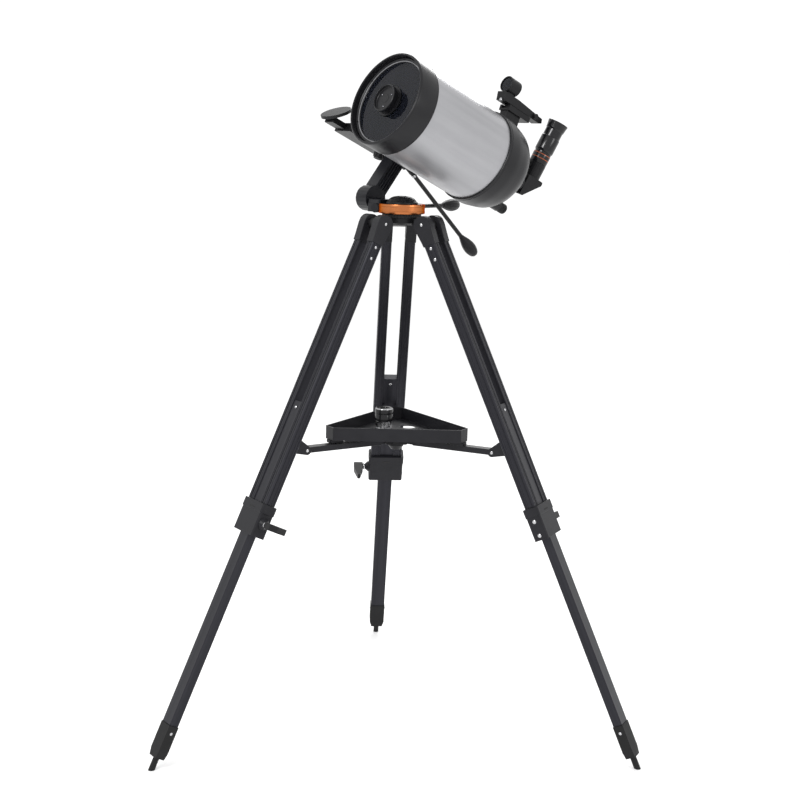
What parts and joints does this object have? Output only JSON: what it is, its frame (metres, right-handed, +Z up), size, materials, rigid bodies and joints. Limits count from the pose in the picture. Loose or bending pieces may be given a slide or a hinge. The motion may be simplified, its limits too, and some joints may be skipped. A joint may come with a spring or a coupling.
{
  "type": "schmidt cassegrain telescope",
  "caption": "Schmidt-Cassegrain telescope on a single-arm alt-azimuth mount and folding aluminium tripod, with diagonal, eyepiece, red dot finder, accessory tray and phone shelf.",
  "frame": {"origin": "on the floor, below the middle of the whole object's bounding box", "axes": "+Z up; +Y towards the rear tripod leg; the tube points to -X and -Y at rest"},
  "size_m": [0.904, 0.7888, 1.2887],
  "materials": {
    "grey_anodised": "satin anodised",
    "grey_moulding": "moulded",
    "rubber": "matte",
    "bright_steel": "bright",
    "black_plastic": "satin",
    "black_paint": "satin",
    "copper_anodised": "gloss anodised",
    "brass": "machined",
    "silver_tube": "satin",
    "coated_glass": "coated",
    "mirror": "polished"
  },
  "bodies": {
    "head": {"tripod_head": "black_paint", "head_bolt": "bright_steel", "azimuth_base": "brass", "azimuth_nut": "bright_steel"},
    "leg_1": {"leg_1_rails": "grey_anodised", "leg_1_clamp": "grey_moulding"},
    "lower_leg_1": {"leg_1_lower": "grey_anodised", "leg_1_foot": "rubber"},
    "clamp_screw_1": {"leg_1_clamp_screw": "bright_steel"},
    "leg_2": {"leg_2_rails": "grey_anodised", "leg_2_clamp": "grey_moulding"},
    "lower_leg_2": {"leg_2_lower": "grey_anodised", "leg_2_foot": "rubber"},
    "clamp_screw_2": {"leg_2_clamp_screw": "bright_steel"},
    "leg_3": {"leg_3_rails": "grey_anodised", "leg_3_clamp": "grey_moulding"},
    "lower_leg_3": {"leg_3_lower": "grey_anodised", "leg_3_foot": "rubber"},
    "clamp_screw_3": {"leg_3_clamp_screw": "bright_steel"},
    "hub": {"spreader_hub": "black_plastic"},
    "spreader_1": {"spreader_arm_1": "grey_moulding"},
    "spreader_2": {"spreader_arm_2": "grey_moulding"},
    "spreader_3": {"spreader_arm_3": "grey_moulding"},
    "tray": {"accessory_tray": "grey_moulding"},
    "spare": {"spare_eyepiece": "black_plastic"},
    "mount": {"azimuth_housing": "black_paint", "azimuth_ring": "copper_anodised", "azimuth_cap": "black_plastic", "mount_arm": "black_paint", "arm_cover": "black_plastic"},
    "azimuth_drive": {"azimuth_worm": "bright_steel", "azimuth_control": "black_plastic"},
    "altitude_drive": {"altitude_worm": "bright_steel", "altitude_control": "black_plastic"},
    "cradle": {"altitude_shaft": "brass", "saddle": "black_paint", "dock_bracket": "black_plastic", "dock_shelf": "black_plastic", "dock_mirror": "black_plastic"},
    "clutch_knob": {"altitude_clutch_knob": "black_plastic"},
    "saddle_screw": {"saddle_knob": "black_plastic"},
    "optical_tube": {"dovetail_bar": "black_paint", "optical_tube": "silver_tube", "front_cell": "black_paint", "corrector_plate": "coated_glass", "retaining_ring": "black_plastic", "secondary_holder": "black_plastic", "secondary_mirror": "mirror", "rear_cell": "black_paint", "baffle_tube": "black_plastic", "visual_back": "black_plastic", "finder_bracket": "black_plastic"},
    "focuser": {"focus_knob": "rubber"},
    "primary": {"primary_mirror": "mirror"},
    "diagonal": {"star_diagonal": "black_plastic"},
    "eyepiece": {"eyepiece": "black_plastic"},
    "eyepiece_screw": {"eyepiece_screw": "bright_steel"},
    "finder": {"red_dot_finder": "black_plastic"},
    "finder_dial": {"finder_dial": "black_plastic"},
    "dock_jaw": {"dock_jaw": "rubber"}
  },
  "joints": [
    {"name": "leg_1_fold", "type": "hinge", "parent": "head", "child": "leg_1", "pos_m": [-0.04971, -0.15538, 0.98], "axis": [0.5, -0.866, 0], "range_deg": [0, 5]},
    {"name": "leg_1_length", "type": "slide", "parent": "leg_1", "child": "lower_leg_1", "axis": [0.3662, 0.2114, 0.9062], "range_m": [-0.12, 0.3]},
    {"name": "leg_1_screw", "type": "hinge", "parent": "leg_1", "child": "clamp_screw_1", "pos_m": [-0.26777, -0.28127, 0.44041], "axis": [0.5, -0.866, 0], "range_deg": [0, 720]},
    {"name": "leg_2_fold", "type": "hinge", "parent": "head", "child": "leg_2", "pos_m": [0.04971, -0.15538, 0.98], "axis": [0.5, 0.866, 0], "range_deg": [0, 5]},
    {"name": "leg_2_length", "type": "slide", "parent": "leg_2", "child": "lower_leg_2", "axis": [-0.3662, 0.2114, 0.9062], "range_m": [-0.12, 0.3]},
    {"name": "leg_2_screw", "type": "hinge", "parent": "leg_2", "child": "clamp_screw_2", "pos_m": [0.26777, -0.28127, 0.44041], "axis": [0.5, 0.866, 0], "range_deg": [0, 720]},
    {"name": "leg_3_fold", "type": "hinge", "parent": "head", "child": "leg_3", "pos_m": [0, -0.06928, 0.98], "axis": [-1, 0, 0], "range_deg": [0, 5]},
    {"name": "leg_3_length", "type": "slide", "parent": "leg_3", "child": "lower_leg_3", "axis": [0, -0.4229, 0.9062], "range_m": [-0.12, 0.3]},
    {"name": "leg_3_screw", "type": "hinge", "parent": "leg_3", "child": "clamp_screw_3", "pos_m": [0, 0.18252, 0.44041], "axis": [-1, 0, 0], "range_deg": [0, 720]},
    {"name": "hub_rise", "type": "slide", "parent": "head", "child": "hub", "axis": [0, 0, 1], "range_m": [0, 0.099]},
    {"name": "spreader_1_turn", "type": "hinge", "parent": "hub", "child": "spreader_1", "pos_m": [-0.02079, -0.13867, 0.5625], "axis": [0.5, -0.866, 0], "range_deg": [0, 37.2]},
    {"name": "spreader_2_turn", "type": "hinge", "parent": "hub", "child": "spreader_2", "pos_m": [0.02079, -0.13867, 0.5625], "axis": [0.5, 0.866, 0], "range_deg": [0, 37.2]},
    {"name": "spreader_3_turn", "type": "hinge", "parent": "hub", "child": "spreader_3", "pos_m": [0, -0.10268, 0.5625], "axis": [-1, 0, 0], "range_deg": [0, 37.2]},
    {"name": "tray_turn", "type": "hinge", "parent": "hub", "child": "tray", "pos_m": [0, -0.12668, 0], "axis": [0, 0, 1], "range_deg": [0, 60]},
    {"name": "spare_lift", "type": "slide", "parent": "tray", "child": "spare", "axis": [0, 0, 1], "range_m": [0, 0.1]},
    {"name": "azimuth_turn", "type": "hinge", "parent": "head", "child": "mount", "pos_m": [0, -0.12668, 0], "axis": [0, 0, 1], "continuous": true},
    {"name": "azimuth_drive_turn", "type": "hinge", "parent": "mount", "child": "azimuth_drive", "pos_m": [-0.03544, -0.09735, 1.0065], "axis": [0.6374, 0.7705, 0], "continuous": true},
    {"name": "altitude_turn", "type": "hinge", "parent": "mount", "child": "cradle", "pos_m": [0.0964, -0.12432, 1.1325], "axis": [-0.6004, 0.7997, 0], "range_deg": [-28, 33]},
    {"name": "altitude_drive_turn", "type": "hinge", "parent": "mount", "child": "altitude_drive", "pos_m": [-0.00295, -0.03448, 1.10515], "axis": [0.5849, 0.4391, -0.682], "range_deg": [-900, 1060]},
    {"name": "clutch_knob_turn", "type": "hinge", "parent": "cradle", "child": "clutch_knob", "pos_m": [0.0964, -0.12432, 1.1325], "axis": [0.6004, -0.7997, 0], "range_deg": [0, 360]},
    {"name": "saddle_screw_turn", "type": "hinge", "parent": "cradle", "child": "saddle_screw", "pos_m": [-0.02404, -0.0862, 1.16426], "axis": [0.3175, 0.2384, 0.9178], "range_deg": [0, 720]},
    {"name": "tube_slide", "type": "slide", "parent": "cradle", "child": "optical_tube", "axis": [-0.734, -0.5511, 0.397], "range_m": [-0.03, 0.03]},
    {"name": "mirror_focus", "type": "slide", "parent": "optical_tube", "child": "primary", "axis": [-0.734, -0.5511, 0.397], "range_m": [-0.003, 0.003]},
    {"name": "focus_turn", "type": "hinge", "parent": "optical_tube", "child": "focuser", "pos_m": [0.08145, -0.14805, 1.07192], "axis": [-0.734, -0.5511, 0.397], "range_deg": [-1440, 1440]},
    {"name": "diagonal_turn", "type": "hinge", "parent": "optical_tube", "child": "diagonal", "pos_m": [0.25017, -0.00887, 1.04933], "axis": [-0.734, -0.5511, 0.397], "range_deg": [-60, 60]},
    {"name": "eyepiece_draw", "type": "slide", "parent": "diagonal", "child": "eyepiece", "axis": [0.4435, 0.0538, 0.8947], "range_m": [0, 0.06]},
    {"name": "eyepiece_screw_turn", "type": "hinge", "parent": "diagonal", "child": "eyepiece_screw", "pos_m": [0.26879, -0.00661, 1.08691], "axis": [-0.734, -0.5511, 0.397], "range_deg": [0, 720]},
    {"name": "finder_slide", "type": "slide", "parent": "optical_tube", "child": "finder", "axis": [-0.734, -0.5511, 0.397], "range_m": [0, 0.06]},
    {"name": "finder_dial_turn", "type": "hinge", "parent": "finder", "child": "finder_dial", "pos_m": [0.25637, -0.00422, 1.18565], "axis": [0.6004, -0.7997, 0], "range_deg": [0, 270]},
    {"name": "dock_jaw_slide", "type": "slide", "parent": "cradle", "child": "dock_jaw", "axis": [-0.6004, 0.7997, 0], "range_m": [0, 0.04]}
  ],
  "couplings": [
    {"joint": "leg_2_fold", "follows": "leg_1_fold", "ratio": 1},
    {"joint": "leg_3_fold", "follows": "leg_1_fold", "ratio": 1},
    {"joint": "hub_rise", "follows": "leg_1_fold", "m_per_rad": 1.131},
    {"joint": "spreader_1_turn", "follows": "leg_1_fold", "ratio": 7.42},
    {"joint": "spreader_2_turn", "follows": "leg_1_fold", "ratio": 7.42},
    {"joint": "spreader_3_turn", "follows": "leg_1_fold", "ratio": 7.42},
    {"joint": "azimuth_drive_turn", "follows": "azimuth_turn", "ratio": 40},
    {"joint": "altitude_drive_turn", "follows": "altitude_turn", "ratio": 32},
    {"joint": "focus_turn", "follows": "mirror_focus", "rad_per_m": 8377}
  ]
}
